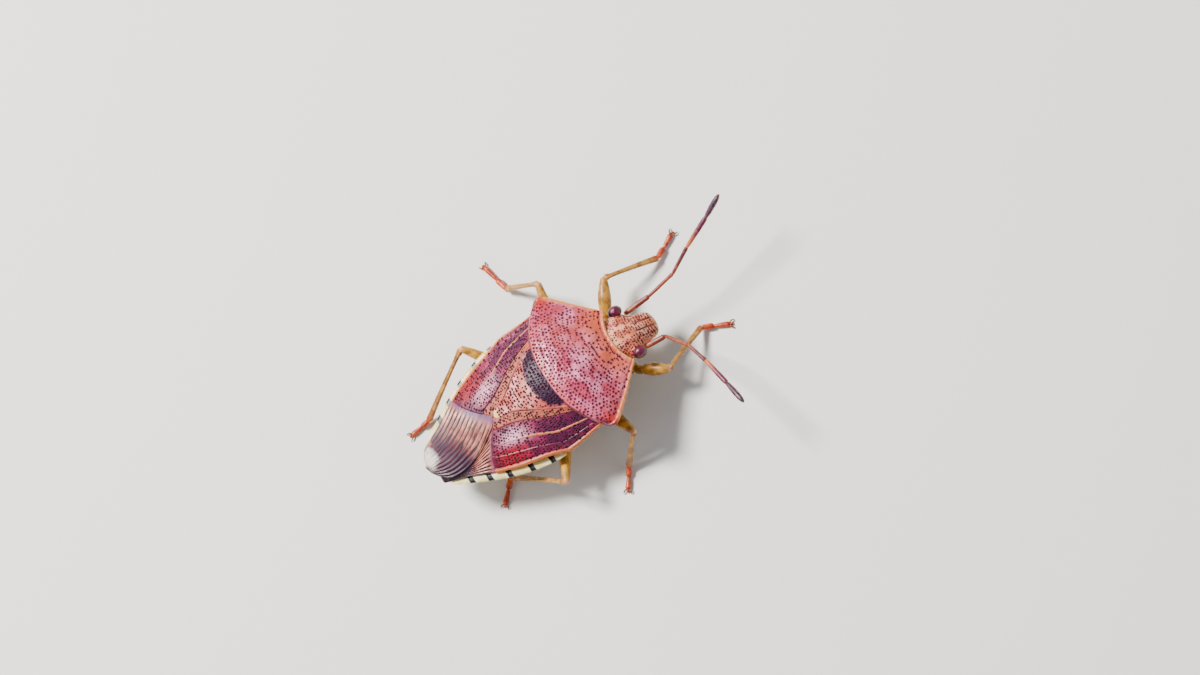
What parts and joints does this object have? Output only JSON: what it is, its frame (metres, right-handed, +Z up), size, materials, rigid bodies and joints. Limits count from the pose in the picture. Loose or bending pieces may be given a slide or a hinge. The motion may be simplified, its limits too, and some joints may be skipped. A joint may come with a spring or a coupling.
{
  "type": "shield bug",
  "caption": "Life-size still model of a shield bug standing on its feet, with its feelers held forward and its wings folded flat on its back.",
  "frame": {"origin": "centre of the footprint's bounding box, on the floor under the feet", "axes": "+Z up; the head looks along -Y and the tail points along +Y; the bug's left side is +X"},
  "size_m": [0.0094, 0.0126, 0.0031],
  "materials": {
    "pronotum": "satin shell",
    "scutellum": "satin shell",
    "wing": "satin shell",
    "membrane": "glossy",
    "rim": "satin shell",
    "head": "satin shell",
    "eye": "glossy",
    "feeler": "satin shell",
    "belly": "satin shell",
    "leg": "satin shell",
    "shin": "satin shell",
    "foot": "satin shell"
  },
  "bodies": {
    "root": {"abdomen": "belly", "beak": "belly", "coxa_front_left": "belly", "coxa_front_right": "belly", "coxa_middle_left": "belly", "coxa_middle_right": "belly", "coxa_rear_left": "belly", "coxa_rear_right": "belly", "eye_left": "eye", "eye_right": "eye", "feeler_left_1": "feeler", "feeler_left_2": "feeler", "feeler_left_3": "feeler", "feeler_left_4": "feeler", "feeler_left_5": "feeler", "feeler_right_1": "feeler", "feeler_right_2": "feeler", "feeler_right_3": "feeler", "feeler_right_4": "feeler", "feeler_right_5": "feeler", "femur_front_left": "leg", "femur_front_right": "leg", "femur_middle_left": "leg", "femur_middle_right": "leg", "femur_rear_left": "leg", "femur_rear_right": "leg", "foot_front_left": "foot", "foot_front_right": "foot", "foot_middle_left": "foot", "foot_middle_right": "foot", "foot_rear_left": "foot", "foot_rear_right": "foot", "head": "head", "keel": "belly", "membrane_left": "membrane", "membrane_right": "membrane", "pronotum": "pronotum", "rim_left": "rim", "rim_right": "rim", "scutellum": "scutellum", "spine": "belly", "thorax": "belly", "tibia_front_left": "shin", "tibia_front_right": "shin", "tibia_middle_left": "shin", "tibia_middle_right": "shin", "tibia_rear_left": "shin", "tibia_rear_right": "shin", "wing_left": "wing", "wing_right": "wing"}
  },
  "joints": []
}
